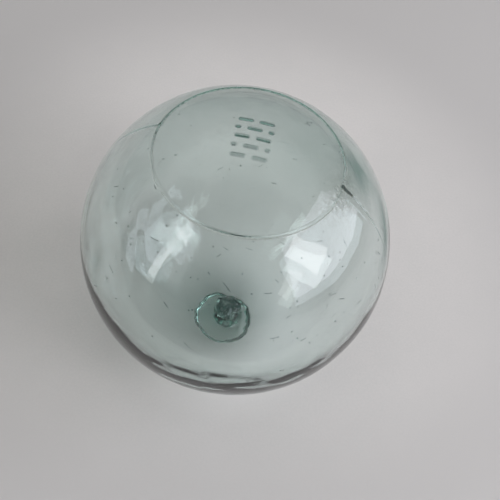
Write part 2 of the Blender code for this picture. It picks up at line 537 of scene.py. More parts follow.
@dataclass
class BlownWall:
    """The thickness of the blown wall: heavy under the plate and round the seal, thin in a belt between."""

    radius: float
    belt: float = 2.1 * MM
    belt_polar: float = math.radians(80)
    plate_extra: float = 2.6 * MM
    plate_polar: float = 0.2
    # Painted shade: a darker tint under the top plate
    plate_painted_shade: float = 0.25
    plate_shade_polars: Pair = (0.5, 1.0)
    sag: float = 0.038
    sag_reach: float = 1.1
    sag_start: float = 0.15
    swells: tuple[Swell, ...] = (
        Swell(polar=80, azimuth=9, extra=1.1 * MM, reach=(0.28, 0.12), tilt=35, cord_and_shade=0.8),
        Swell(polar=87, azimuth=178, extra=-0.45 * MM, reach=(0.15, 0.12)),
        Swell(polar=80.5, azimuth=41.5, extra=0.7 * MM, reach=(0.20, 0.10), tilt=16, cord_and_shade=1.0),
        # Painted shade: this swell's tint darkens the plate on the right
        Swell(polar=22, azimuth=8, extra=0.0, reach=(0.30, 0.30), cord_and_shade=0.2),
        Swell(polar=73.7, azimuth=-146.7, extra=0.3 * MM, reach=(0.05, 0.12), tilt=10, cord_and_shade=0.4),
    )
    skin_streak: Swell = Swell(polar=62, azimuth=-3.5, extra=0.0, reach=(0.24, 0.055), tilt=45, cord_and_shade=1.0)
    # Painted shade: a tint on the settled belt low in front, darkening the rim there
    settled_belt_shade: float = 0.3
    broad: Ripples = Ripples(seed=23, height=0.10 * MM, longest=64 * MM, shortest=26 * MM)
    fine: Ripples = Ripples(seed=31, height=0.012 * MM, longest=11 * MM, shortest=4 * MM, waves=28)
    settling: Ripples = Ripples(seed=5, height=0.075 * MM, longest=12 * MM, shortest=5 * MM, waves=9,
                                squash=(0.22, 0.22, 1.0))
    settling_azimuth: float = math.radians(-81)
    settling_polars: Pair = (math.radians(76), math.radians(98))
    settling_ends: Pair = (math.radians(116), math.radians(138))
    settling_sides: Pair = (math.radians(14), math.radians(50))
    swirls: Ripples = Ripples(seed=27, height=0.42 * MM, longest=26 * MM, shortest=9 * MM, waves=12)
    swirls_places: tuple[Triple, ...] = ((126.0, 136.0, 1.0), (49.0, -153.0, 0.2))
    swirls_reach: Pair = (0.76, 0.97)

    def at(self, way: Array) -> Array:
        """Thickness of the wall.

        From the belt it eases up to the plate, and grows evenly towards the seal, as the hot glass sagged:
        sag times the distance beyond the belt, with a soft start and a soft end. Broad and fine ripples, the
        bands in which the soft glass settled, the swirls and the swells are added.

        Args:
            way: unit vectors from the ball's centre.

        Returns:
            Metres of glass in each direction.
        """
        places = way * self.radius
        polar = polar_of(way)
        above = self.plate_extra * (1.0 - ease(polar, self.plate_polar, self.belt_polar))
        beyond = self.sag_reach * np.tanh(np.maximum(polar - self.belt_polar, 0.0) / self.sag_reach)
        below = self.sag * self.radius * (np.hypot(beyond, self.sag_start) - self.sag_start)
        thickness = self.belt + above + below + self.broad.at(places) + self.fine.at(places)
        thickness = thickness + self.settling.at(places) * self.settled(way)
        thickness = thickness + self.swirls.at(places) * self.swirled(way)
        for swell in self.swells:
            thickness = thickness + swell.extra * swell.share(way)
        return thickness

    def settled(self, way: Array) -> Array:
        """Share of the bands in which the soft glass settled: a belt low in front, eased off at all its ends.

        Args:
            way: unit vectors from the ball's centre.

        Returns:
            Values from 0 to 1.
        """
        polar = polar_of(way)
        aside = np.abs(turned(np.arctan2(way[..., 1], way[..., 0]), self.settling_azimuth))
        belt = ease(polar, *self.settling_polars) * (1.0 - ease(polar, *self.settling_ends))
        return belt * (1.0 - ease(aside, *self.settling_sides))

    def swirled(self, way: Array) -> Array:
        """Share of the swirls, full in the middle of each place that has them and eased off round it.

        Args:
            way: unit vectors from the ball's centre.

        Returns:
            Values from 0 to 1.
        """
        shares = [
            share * ease(way @ sphere_point(math.radians(polar), math.radians(azimuth)), *self.swirls_reach)
            for polar, azimuth, share in self.swirls_places
        ]
        return np.max(shares, axis=0)

    def skin_cords_and_belt_shade(self, way: Array) -> Array:
        """Tint at the outside: greener glass in a streak inside the right rim, and painted shade on the
        settled belt.
        """
        return self.skin_streak.cord_and_shade * self.skin_streak.share(way) + self.settled_belt_shade * self.settled(way)

    def cords_and_plate_shade(self, way: Array) -> Array:
        """Tint at the inside: cords, streaks of greener glass left by poor mixing, and painted shade on the
        plate.

        Args:
            way: unit vectors from the ball's centre.

        Returns:
            Values from 0 to 1.
        """
        streaks = [swell.cord_and_shade * swell.share(way) for swell in self.swells]
        # Painted shade: the plate's darker tint
        plate = self.plate_painted_shade * (1.0 - ease(polar_of(way), *self.plate_shade_polars))
        return np.clip(np.sum(streaks, axis=0) + plate, 0.0, 1.0)


@dataclass
class OldGrime:
    """Years of grime that no wiping reaches, packed at the seams' feet and in the seal's crease; painted shade
    at the ring's back.
    """

    seams: MouldSeams
    seal: SealDab
    wedge: float = 1.1
    wedge_width: float = 1.4 * MM
    wedge_length: float = 11 * MM
    wedge_least: float = 0.05
    wedge_aside: float = 0.35 * MM
    wedge_edge: float = 0.4
    wedge_start: Pair = (-1.6 * MM, -0.4 * MM)
    wedge_end: Pair = (3.5 * MM, 9.0 * MM)
    film: float = 0.66
    film_middle: Pair = (-4.0 * MM, 0.8 * MM)
    film_reach: Pair = (12 * MM, 6.2 * MM)
    knot: float = 1.1
    knot_reach: float = 0.9 * MM
    foot_below: float = 0.75
    foot_above: float = 0.4
    foot_back_shade: float = 0.4
    foot_shade_sides: Pair = (-0.2, 0.5)
    foot_away: float = 0.62 * MM
    foot_reach: float = 0.2 * MM
    crease_reach: float = 0.35 * MM

    def at(self, polar: Array, azimuth: Array) -> Array:
        """How much old grime sits at each point of the ball.

        The most of five: a wedge that tapers down the right side seam, a thin oval film round its top, a spot
        on the left knot, a line at both feet of the ring seam, fuller below it and, as painted shade, at the
        back, and a line in the crease where the seal meets the ball. The edges ease off or are bells.

        Args:
            polar: angles from the top of the ball.
            azimuth: angles round it.

        Returns:
            Values from 0 for glass without grime to over 1 for packed grime and painted shade.
        """
        radius = self.seams.radius
        down = polar * radius - self.seams.plate_arc
        aside, left_aside = (
            turned(azimuth, seam) * radius * np.sin(polar) for seam in self.seams.side_azimuths
        )
        taper = self.wedge_width * np.clip(1.0 - down / self.wedge_length, self.wedge_least, 1.0)
        wedge = 1.0 - ease(np.abs(aside + self.wedge_aside) / taper, self.wedge_edge, 1.0)
        wedge = self.wedge * wedge * ease(down, *self.wedge_start) * (1.0 - ease(down, *self.wedge_end))
        film_aside = (aside - self.film_middle[0]) / self.film_reach[0]
        film_down = (down - self.film_middle[1]) / self.film_reach[1]
        film = self.film * bell(np.hypot(film_aside, film_down))
        knot = self.knot * bell(np.hypot(left_aside, down) / self.knot_reach)
        foot = np.where(down > 0.0, self.foot_below, self.foot_above)
        # Painted shade: the foot line fuller at the back
        foot = foot + self.foot_back_shade * ease(np.sin(azimuth), *self.foot_shade_sides)
        foot = foot * bell((np.abs(down) - self.foot_away) / self.foot_reach)
        to_crease = (self.seal.contact_polar(azimuth) - polar) * radius
        crease = self.seal.crease_grime * bell(to_crease / self.crease_reach)
        return np.max((wedge, film, knot, foot, crease), axis=0)


@dataclass
class Seeds:
    """Small gas bubbles shut in the glass, crowded in the knob and sparse in the wall."""

    knob_count: int = 34
    wall_count: int = 16
    least: float = 0.14 * MM
    most: float = 0.42 * MM
    wall_share: float = 0.7
    knob_margin: float = 2.0 * MM
    knob_heights: Pair = (-1.5 * MM, 5.0 * MM)
    seed: int = 17
    rows: int = 6
    columns: int = 10

    def bubble(self, middle: Array, radius: float) -> Skin:
        """One round bubble.

        Args:
            middle: its middle.
            radius: its radius.

        Returns:
            Its skin, facing the hollow.
        """
        polar, azimuth = np.meshgrid(
            np.linspace(0.0, math.pi, self.rows + 2)[1:-1],
            np.arange(self.columns) * math.tau / self.columns,
            indexing="ij",
        )
        rise = np.array((0.0, 0.0, radius))
        return Skin(middle + radius * sphere_point(polar, azimuth), middle + rise, middle - rise, {}, True)

    def skins(self, glass: "FloatGlass") -> list[Skin]:
        """All the bubbles.

        Args:
            glass: the float's glass, whose wall and knob hold them.

        Returns:
            One skin for each bubble.
        """
        draw = np.random.default_rng(self.seed)
        seal = glass.seal
        floor_z = glass.floor_z()
        sizes = self.least * (self.most / self.least) ** draw.random(self.knob_count + self.wall_count)
        skins = []
        for size in sizes[:self.knob_count]:
            reach = (seal.knob_radius - self.knob_margin) * math.sqrt(draw.random())
            turn = draw.random() * math.tau
            height = draw.uniform(*self.knob_heights)
            middle = np.array((
                seal.knob_place[0] + seal.knob_lean[0] * height + reach * math.cos(turn),
                seal.knob_place[1] + seal.knob_lean[1] * height + reach * math.sin(turn),
                floor_z + height,
            ))
            skins.append(self.bubble(middle, size))
        for size in sizes[self.knob_count:]:
            way = draw.normal(size=3)
            way /= np.linalg.norm(way)
            middle = glass.centre + way * (glass.radius - float(glass.wall.at(way)) / 2)
            skins.append(self.bubble(middle, size * self.wall_share))
        return skins


@dataclass
class FloatGlass:
    """The glass of the float: the moulded outside, the blown inside, the mark, the seams and the seal."""

    centre: Array
    radius: float
    columns: int = 240
    seam_columns: int = 13
    seam_reach: float = math.radians(1.3)
    seam_clear: float = math.radians(1.495)
    mark_reach: float = 13.5 * MM
    mark_rows: int = 58
    plate_rows: int = 20
    ring_reach: float = 1.6 * MM
    ring_rows: int = 19
    side_end: float = math.radians(152)
    side_rows: int = 90
    last_rows: int = 16
    calm_polars: Pair = (math.radians(150), math.radians(166))
    mark_painted_shade: float = 0.6
    swirled_swell: float = 3.0
    skin_below: float = 0.06 * MM
    skin_swell: Ripples = Ripples(seed=7, height=0.04 * MM, longest=42 * MM, shortest=14 * MM)
    skin_ripple: Ripples = Ripples(seed=9, height=0.012 * MM, longest=14 * MM, shortest=5 * MM, waves=24)
    inner_columns: int = 168
    inner_rows: int = 116
    knob_margin: float = 2.2 * MM
    seams: MouldSeams = field(init=False)
    mark: RaisedMark = field(init=False)
    seal: SealDab = field(init=False)
    wall: BlownWall = field(init=False)
    grime: OldGrime = field(init=False)

    def __post_init__(self) -> None:
        """Make the seams, the mark, the seal, the wall and the grime to the ball's size."""
        self.seams = MouldSeams(self.radius)
        self.mark = RaisedMark(self.radius)
        self.seal = SealDab(float(self.centre[2]), self.radius)
        self.wall = BlownWall(self.radius)
        self.grime = OldGrime(self.seams, self.seal)

    def azimuths(self) -> Array:
        """Columns of the outside.

        Returns:
            Angles that are even round the ball, and close together over the side seams.
        """
        even = np.arange(self.columns) * math.tau / self.columns
        for seam in self.seams.side_azimuths:
            even = even[np.abs(turned(even, seam)) > self.seam_clear]
        close = np.linspace(-self.seam_reach, self.seam_reach, self.seam_columns)
        extra = [(seam + close) % math.tau for seam in self.seams.side_azimuths]
        return np.sort(np.concatenate([even] + extra))

    def polars(self, azimuth: Array) -> Array:
        """Rows of the outside, down to the crease of the seal.

        Args:
            azimuth: angles of the columns.

        Returns:
            Angles from the top of the ball, close together over the mark and the ring seam, in a column for
            each azimuth.
        """
        edge = self.mark_reach / self.radius
        above = self.seams.ring_polar - self.ring_reach / self.radius
        below = self.seams.ring_polar + self.ring_reach / self.radius
        level = np.concatenate((
            np.linspace(0.0, edge, self.mark_rows)[1:],
            np.linspace(edge, above, self.plate_rows)[1:],
            np.linspace(above, below, self.ring_rows)[1:],
            np.linspace(below, self.side_end, self.side_rows)[1:],
        ))[:, None]
        contact = self.seal.contact_polar(azimuth)[None, :]
        share = np.linspace(0.0, 1.0, self.last_rows)[1:, None]
        return np.concatenate((level * np.ones_like(contact), level[-1] + (contact - level[-1]) * share))

    def outside(self) -> Skin:
        """The moulded outside: the sphere, raised by the seams, the mark and the skin's swells and ripples.

        Returns:
            The skin, from the top of the plate down to the middle of the seal's foot.
        """
        azimuth = self.azimuths()
        polar = self.polars(azimuth)
        turn = azimuth[None, :] * np.ones_like(polar)
        way = sphere_point(polar, turn)
        place = way * self.radius
        mark = self.mark.relief(polar, turn)
        swell = self.skin_swell.at(place) * (1.0 + self.swirled_swell * self.wall.swirled(way))
        waves = swell + self.skin_ripple.at(place) - self.skin_below
        rise = self.seams.relief(polar, turn) + mark + waves * (1.0 - ease(polar, *self.calm_polars))
        ball = self.centre + way * (self.radius + rise)[..., None]
        button, crease_grime = self.seal.button(azimuth)
        grid = np.concatenate((ball, button))
        # Painted shade: deeper green on the strokes, the ring's back and the settled belt; the streak is
        # greener glass
        tint = self.mark_painted_shade * mark / self.mark.stroke_height
        tint = tint + self.seams.ring_back_shade(polar, turn) + self.wall.skin_cords_and_belt_shade(way)
        coats = {
            Coat.OUTER.value: np.ones(grid.shape[:2]),
            Coat.GRIME_AND_SHADE.value: np.concatenate((self.grime.at(polar, turn), crease_grime)),
            Coat.CORD_AND_SHADE.value: np.concatenate((np.clip(tint, 0.0, 1.0), np.zeros_like(crease_grime))),
        }
        top_mark = float(self.mark.relief(np.zeros(1), np.zeros(1))[0])
        top_rise = top_mark - self.seams.plate_step - self.skin_below
        top = self.centre + np.array((0.0, 0.0, self.radius + top_rise))
        return Skin(grid, top, np.array((0.0, 0.0, self.seal.dish)), coats)

    def floor_z(self) -> float:
        """Height of the inner wall at the bottom of the ball."""
        return float(self.centre[2] - self.radius + self.wall.at(np.array((0.0, 0.0, -1.0))))

    def inside(self) -> Skin:
        """The inside of the blown bubble: the sphere less the wall's thickness, and the seal's knob.

        Returns:
            The skin, from its top down to the knob's end, facing the hollow.
        """
        azimuth = np.arange(self.inner_columns) * math.tau / self.inner_columns
        knob_foot = self.seal.knob_radius + self.seal.knob_fillet
        start = math.pi - math.asin((knob_foot + self.knob_margin) / (self.radius - 2 * self.wall.belt))
        polars = np.linspace(0.0, start, self.inner_rows)[1:]
        polar, turn = np.meshgrid(polars, azimuth, indexing="ij")
        way = sphere_point(polar, turn)
        ball = self.centre + way * (self.radius - self.wall.at(way))[..., None]
        knob, knob_end_dark = self.seal.knob(azimuth, self.floor_z())
        coats = {
            Coat.KNOB_END.value: np.concatenate((np.zeros(polar.shape), knob_end_dark)),
            Coat.CORD_AND_SHADE.value: np.concatenate((self.wall.cords_and_plate_shade(way), np.zeros(knob_end_dark.shape))),
        }
        up = np.array((0.0, 0.0, 1.0))
        top = self.centre + up * (self.radius - float(self.wall.at(up)))
        return Skin(np.concatenate((ball, knob)), top, knob[-1].mean(axis=0), coats, True)

    def build(self, finish: "SeaGreenGlass") -> bpy.types.Object:
        """Make the piece and dress it.

        Args:
            finish: the glass it is made of.

        Returns:
            The finished piece.
        """
        piece = mesh_of("float_glass", [self.outside(), self.inside()] + Seeds().skins(self))
        piece.data.materials.append(finish.material(self.centre))
        return piece


class Graph:
    """A material's node tree, drawn with short calls."""

    def __init__(self, name: str) -> None:
        """Start an empty tree in a new material of the given name."""
        self.made = bpy.data.materials.new(name)
        self.made.use_nodes = True
        self.tree = self.made.node_tree
        self.tree.nodes.clear()

    def add(self, kind: str, inputs: dict | None = None, **settings) -> bpy.types.Node:
        """Add a node.

        Args:
            kind: the node's type, without the leading ShaderNode.
            inputs: values or other nodes' output sockets, by the input's name or number.
            settings: the node's own properties.

        Returns:
            The node.
        """
        node = self.tree.nodes.new("ShaderNode" + kind)
        for name, value in settings.items():
            setattr(node, name, value)
        for key, value in (inputs or {}).items():
            if isinstance(value, Socket):
                self.tree.links.new(value, node.inputs[key])
            else:
                node.inputs[key].default_value = value
        return node

    def maths(self, operation: str, *values: Socket | float) -> Socket:
        """The result of arithmetic on one, two or three numbers."""
        return self.add("Math", dict(enumerate(values)), operation=operation).outputs[0]

    def times(self, first: Socket, second: Socket | float) -> Socket:
        """The product of two numbers."""
        return self.maths("MULTIPLY", first, second)

    def vector(self, operation: str, *values: Socket | tuple) -> Socket:
        """The result of arithmetic on vectors: a number from a dot product or a length, else a vector."""
        node = self.add("VectorMath", dict(enumerate(values)), operation=operation)
        return node.outputs["Value" if operation in ("DOT_PRODUCT", "LENGTH") else "Vector"]

    def scaled(self, value: Socket, factor: Socket | float) -> Socket:
        """A vector times a number."""
        return self.add("VectorMath", {0: value, "Scale": factor}, operation="SCALE").outputs["Vector"]

    def eased(self, value: Socket, low: float, high: float) -> Socket:
        """0 below low and 1 above high, eased between; with low above high it falls instead."""
        node = self.add("MapRange", {"Value": value, 1: low, 2: high}, interpolation_type="SMOOTHSTEP")
        return node.outputs["Result"]

    def attribute(self, coat: Coat) -> Socket:
        """The value of a coat at the shaded point."""
        return self.add("Attribute", attribute_name=coat.value, attribute_type="GEOMETRY").outputs["Fac"]

    def noise(self, place: Socket, size: float, detail: float, roughness: float = 0.5) -> bpy.types.Node:
        """Noise whose patches are about size metres across."""
        inputs = {"Vector": place, "Scale": 1.0 / size, "Detail": detail, "Roughness": roughness}
        return self.add("TexNoise", inputs)

    def mixed(self, share: Socket | float, first: Socket | tuple, second: Socket | tuple) -> Socket:
        """One colour passing into another as share goes from 0 to 1."""
        node = self.add("Mix", {0: share, 6: first, 7: second}, data_type="RGBA")
        return node.outputs[2]

    def close(self, outputs: dict[str, Socket]) -> None:
        """End the tree in the material's output."""
        self.add("OutputMaterial", outputs).is_active_output = True


@dataclass(frozen=True)
class Marks:
    """Short scratches or small pits, one to a cell of a random mesh of cells, in some cells only.

    A mark is where the place's offset from its cell's middle, measured over the surface along a random
    direction and across it, is under the mark's half length and half width.
    """

    cell: float
    share: float
    length: Pair
    width: float
    wander: float = 0.35 * MM
    wander_size: float = 3.0 * MM
    ends: Pair = (1.0, 0.6)
    sides: Pair = (0.65, 0.25)

    def mask(self, graph: Graph, place: Socket, outward: Socket) -> Socket:
        """Nodes that are 1 on the marks.

        Args:
            graph: the material's tree.
            place: places from the ball's centre, in metres.
            outward: unit vectors out of the ball.

        Returns:
            The mask.
        """
        drift = graph.noise(place, self.wander_size, 1.0).outputs["Color"]
        drift = graph.vector("SUBTRACT", drift, MIDDLE_GREY)
        shaky = graph.vector("ADD", place, graph.scaled(drift, self.wander * 2))
        cells = graph.add("TexVoronoi", {"Vector": shaky, "Scale": 1.0 / self.cell}, feature="F1")
        offset = graph.vector("SUBTRACT", shaky, cells.outputs["Position"])
        dice = graph.add("TexWhiteNoise", {"Vector": cells.outputs["Position"]}, noise_dimensions="3D")
        random = graph.vector("SUBTRACT", dice.outputs["Color"], MIDDLE_GREY)
        across_way = graph.vector("NORMALIZE", graph.vector("CROSS_PRODUCT", random, outward))
        along_way = graph.vector("CROSS_PRODUCT", across_way, outward)
        along = graph.maths("ABSOLUTE", graph.vector("DOT_PRODUCT", offset, along_way))
        across = graph.maths("ABSOLUTE", graph.vector("DOT_PRODUCT", offset, across_way))
        least, most = self.length
        parts = graph.add("SeparateColor", {0: cells.outputs["Color"]})
        half = graph.maths("MULTIPLY_ADD", parts.outputs[0], (most - least) / 2, least / 2)
        within = graph.eased(graph.maths("DIVIDE", along, half), *self.ends)
        thin = graph.eased(across, *(self.width * side for side in self.sides))
        there = graph.maths("LESS_THAN", dice.outputs["Value"], self.share)
        return graph.times(graph.times(within, thin), there)


@dataclass(frozen=True)
class SeaGreenGlass:
    """Soda-lime bottle glass, blown in a mould: clear, with the green of iron deepening where it is thick."""

    ior: float = 1.51
    # Absorption of red, green and blue per metre: a thin wall looks clear, and a thick place sea-green
    absorbs: Triple = (22.0, 6.5, 10.0)
    absorbs_margin: float = 1.2
    # Greener streaks, painted shade on the strokes, ring, plate and front belt, and darker glass at the knob's
    # end
    cord_and_shade_tint: str = "638c83"
    knob_end_tint: str = "3d5553"
    knob_end_grain_size: float = 2.2 * MM
    knob_end_levels: Pair = (0.26, 0.52)
    # A sharp gloss, hazed a little by handling, and dull where it is scratched or dirty
    gloss_roughness: float = 0.015
    worn_roughness: float = 0.45
    haze_roughness: float = 0.02
    haze_size: float = 16 * MM
    haze_levels: Pair = (0.45, 0.75)
    knob_end_roughness: float = 0.1
    dirt_roughness: float = 0.4
    # Short dark scratches and pits from years at sea, fainter on the plate
    scratches: Marks = Marks(cell=8.5 * MM, share=0.11, length=(1.0 * MM, 4.6 * MM), width=0.36 * MM)
    pits: Marks = Marks(cell=6.3 * MM, share=0.12, length=(0.5 * MM, 0.9 * MM), width=0.7 * MM)
    pits_offset: Triple = (3.1, 1.7, 2.3)
    scratch_colour: str = "2c322f"
    wear_top: float = 0.15
    wear_below: float = 0.7
    wear_heights: Pair = (0.9, 0.6)
    # Brown grime, also painted as shade on the ring's back: solid where it is packed, specks and a thin film
    # further out
    grime_dark: str = "1e170a"
    grime_pale: str = "8a7740"
    grain_size: float = 0.9 * MM
    crust_share: float = 0.9
    crust_levels: Pair = (1.12, 1.28)
    film_size: float = 1.4 * MM
    film_levels: Pair = (0.3, 0.6)
    film_share: float = 0.75
    grime_and_shade_most: float = 0.92
    loose_grime: Pair = (1.0, 0.7)
    loose_grain: Pair = (0.35, 0.6)
    # The mould's chill gives a faint orange peel, and drag lines round the top, which only reflections show
    peel_size: float = 2.0 * MM
    peel_height: float = 0.006 * MM
    drag_pitch: float = 0.42 * MM
    drag_size: float = 9 * MM
    drag_wander: float = 9.0
    drag_levels: Pair = (0.5, 0.62)
    drag_share: float = 0.3

    def material(self, centre: Array) -> bpy.types.Material:
        """The glass, tinted by its thickness and by painted shade, with scratches, pits, grime and an
        orange-peel skin.

        Args:
            centre: the ball's centre.

        Returns:
            The material.
        """
        graph = Graph("soda_lime_glass_mould_blown_painted_shade")
        place = graph.vector("SUBTRACT", graph.add("TexCoord").outputs["Object"], tuple(centre))
        outer = graph.attribute(Coat.OUTER)
        wear = self.wear(graph, place, outer)
        grime_and_shade, grime_and_shade_colour = self.grime_and_shade(graph, place)
        speckle = graph.noise(place, self.knob_end_grain_size, 3.0, 0.6).outputs[0]
        # Darker glass at the knob's end, in grainy patches
        knob_end_share = graph.times(graph.attribute(Coat.KNOB_END), graph.eased(speckle, *self.knob_end_levels))
        colour = graph.mixed(knob_end_share, CLEAR, srgb(self.knob_end_tint))
        colour = graph.mixed(graph.attribute(Coat.CORD_AND_SHADE), colour, srgb(self.cord_and_shade_tint))
        colour = graph.mixed(wear, colour, srgb(self.scratch_colour))
        colour = graph.mixed(grime_and_shade, colour, grime_and_shade_colour)
        haze = graph.eased(graph.noise(place, self.haze_size, 3.0, 0.6).outputs[0], *self.haze_levels)
        rough = self.gloss_roughness
        for share, extra in (
            (graph.maths("MAXIMUM", wear, grime_and_shade), self.worn_roughness),
            (graph.times(haze, outer), self.haze_roughness),
            (knob_end_share, self.knob_end_roughness),
            (grime_and_shade, self.dirt_roughness),
        ):
            rough = graph.maths("MULTIPLY_ADD", share, extra, rough)
        shader = graph.add("BsdfPrincipled", {
            "Base Color": colour,
            "Roughness": rough,
            "IOR": self.ior,
            "Transmission Weight": 1.0,
            "Normal": self.skin_normal(graph, place, outer),
        })
        most = max(self.absorbs) * self.absorbs_margin
        keeps = tuple(1.0 - part / most for part in self.absorbs) + (1.0,)
        tint = graph.add("VolumeAbsorption", {"Color": keeps, "Density": most})
        graph.close({"Surface": shader.outputs["BSDF"], "Volume": tint.outputs["Volume"]})
        return graph.made

    def wear(self, graph: Graph, place: Socket, outer: Socket) -> Socket:
        """Scratches and pits on the outside, fainter on the plate.

        Args:
            graph: the material's tree.
            place: places from the ball's centre, in metres.
            outer: 1 on the outside.

        Returns:
            How strongly they show.
        """
        outward = graph.vector("NORMALIZE", place)
        scratches = self.scratches.mask(graph, place, outward)
        pits = self.pits.mask(graph, graph.vector("ADD", place, self.pits_offset), outward)
        high = graph.eased(graph.add("SeparateXYZ", {0: outward}).outputs["Z"], *self.wear_heights)
        strength = graph.maths("MULTIPLY_ADD", high, self.wear_below, self.wear_top)
        return graph.times(graph.times(graph.maths("MAXIMUM", scratches, pits), outer), strength)

    def grime_and_shade(self, graph: Graph, place: Socket) -> tuple[Socket, Socket]:
        """Old grime and painted shade: solid crusts where it is packed, specks and a thin film further out.

        A crust is where the grime and a fine grain together pass a level. The film is the grime times patches
        of a coarser noise. Packed grime is dark, and loose grime is paler where the grain is strong.

        Args:
            graph: the material's tree.
            place: places from the ball's centre, in metres.

        Returns:
            How much the grime covers, and its colour.
        """
        grime = graph.attribute(Coat.GRIME_AND_SHADE)
        grain = graph.noise(place, self.grain_size, 3.0, 0.75).outputs[0]
        patches = graph.noise(place, self.film_size, 3.0, 0.6).outputs[0]
        crust = graph.eased(graph.maths("MULTIPLY_ADD", grime, self.crust_share, grain), *self.crust_levels)
        film = graph.times(grime, graph.times(graph.eased(patches, *self.film_levels), self.film_share))
        cover = graph.times(graph.maths("MAXIMUM", crust, film), self.grime_and_shade_most)
        loose = graph.times(graph.eased(grime, *self.loose_grime), graph.eased(grain, *self.loose_grain))
        return cover, graph.mixed(loose, srgb(self.grime_dark), srgb(self.grime_pale))

    def skin_normal(self, graph: Graph, place: Socket, outer: Socket) -> Socket:
        """The moulded skin's faint orange peel, and drag lines round the top plate.

        The lines are sines of the distance from the axis, which a slow noise bends and lets show in places.

        Args:
            graph: the material's tree.
            place: places from the ball's centre, in metres.
            outer: 1 on the outside.

        Returns:
            The bumped normal.
        """
        peel = graph.noise(place, self.peel_size, 2.0).outputs[0]
        from_axis = graph.vector("LENGTH", graph.vector("MULTIPLY", place, (1.0, 1.0, 0.0)))
        drift = graph.noise(place, self.drag_size, 1.0).outputs[0]
        turns = graph.maths("DIVIDE", from_axis, self.drag_pitch)
        turns = graph.maths("MULTIPLY_ADD", drift, self.drag_wander, turns)
        lines = graph.times(graph.maths("SINE", turns), graph.eased(drift, *self.drag_levels))
        height = graph.times(graph.maths("MULTIPLY_ADD", lines, self.drag_share, peel), outer)
        bump = graph.add("Bump", {"Strength": 1.0, "Distance": self.peel_height, "Height": height})
        return bump.outputs["Normal"]


@dataclass(frozen=True)
class PaintedTable:
    """A matt painted table top: off-white, faintly mottled by the roller, with a painted pool of light round
    the float.
    """

    # Off-white paint, a little uneven, as the roller left it
    colour: str = "e3dfdb"
    shade: str = "dcd9d5"
    mottle_size: float = 34 * MM
    stipple_size: float = 1.1 * MM
    stipple_height: float = 0.03 * MM
    stipple_strength: float = 0.4
    blend_levels: Pair = (0.3, 0.7)
    roughness: float = 0.6
    # Painted light: paler paint right round the float; painted shade: duller paint far from it
    pool_light_paint: str = "f8f4f0"
    pool_light_reach: Pair = (28 * MM, 58 * MM)
    falloff_shade_paint: str = "cbc8c5"
    falloff_shade_reach: Pair = (90 * MM, 180 * MM)
    falloff_shade_middle: Triple = (-4 * MM, 65 * MM, 0.0)

    def material(self) -> bpy.types.Material:
        """The paint: a faint mottle, a roller stipple, painted light round the float and painted shade far
        off.

        Returns:
            The material.
        """
        graph = Graph("matt_paint_rolled_with_painted_light")
        place = graph.add("TexCoord").outputs["Object"]
        mottle = graph.noise(place, self.mottle_size, 4.0, 0.6).outputs[0]
        stipple = graph.noise(place, self.stipple_size, 2.0).outputs[0]
        blend = graph.times(graph.maths("ADD", stipple, mottle), 0.5)
        bump = graph.add("Bump", {
            "Strength": self.stipple_strength,
            "Distance": self.stipple_height,
            "Height": stipple,
        })
        paint = graph.mixed(graph.eased(blend, *self.blend_levels), srgb(self.shade), srgb(self.colour))
        # Painted light: paler paint round the float, lifting the shade the glass casts there
        away = graph.vector("LENGTH", place)
        paint = graph.mixed(graph.eased(away, *self.pool_light_reach), srgb(self.pool_light_paint), paint)
        # Painted shade: darker paint far from the float, a painted fall-off of the light
        aside = graph.vector("LENGTH", graph.vector("SUBTRACT", place, self.falloff_shade_middle))
        paint = graph.mixed(graph.eased(aside, *self.falloff_shade_reach), paint, srgb(self.falloff_shade_paint))
        shader = graph.add("BsdfPrincipled", {
            "Base Color": paint,
            "Roughness": self.roughness,
            "Normal": bump.outputs["Normal"],
        })
        graph.close({"Surface": shader.outputs["BSDF"]})
        return graph.made


@dataclass(frozen=True)
class Pane:
    """One evenly lit softbox in an upright plane.

    Its middle and size are shares of the plane's distance, and so is how much nearer it hangs. It is turned
    in its plane by degrees.
    """

    name: str
    middle: Pair
    size: Pair
    strength: float
    colour: str = "f8f9fa"
    turn: float = 0.0
    nearer: float = 0.0


@dataclass(frozen=True)
class LightWall:
    """An upright plane of softboxes that faces the float, its azimuth in degrees, its distance in metres."""

    azimuth: float
    distance: float
    panes: tuple[Pane, ...]

    def build(self, centre: Array) -> None:
        """Hang the softboxes.

        Args:
            centre: the ball's centre, from which the panes' places are measured.
        """
        out = Vector(sphere_point(math.pi / 2, math.radians(self.azimuth)))
        up = Vector((0.0, 0.0, 1.0))
        aside = up.cross(out)
        for pane in self.panes:
            data = bpy.data.lights.new(pane.name, "AREA")
            data.shape = "RECTANGLE"
            data.size = pane.size[0] * self.distance
            data.size_y = pane.size[1] * self.distance
            data.energy = pane.strength * math.pi * data.size * data.size_y
            data.color = srgb(pane.colour)[:3]
            light = bpy.data.objects.new(pane.name, data)
            place = out * (1.0 - pane.nearer) + aside * pane.middle[0] + up * pane.middle[1]
            turn = math.radians(pane.turn)
            across = math.cos(turn) * aside + math.sin(turn) * up
            rotation = Matrix((across, out.cross(across), out)).transposed().to_4x4()
            light.matrix_world = Matrix.Translation(Vector(centre) + self.distance * place) @ rotation
            light.visible_camera = False
            bpy.context.scene.collection.objects.link(light)


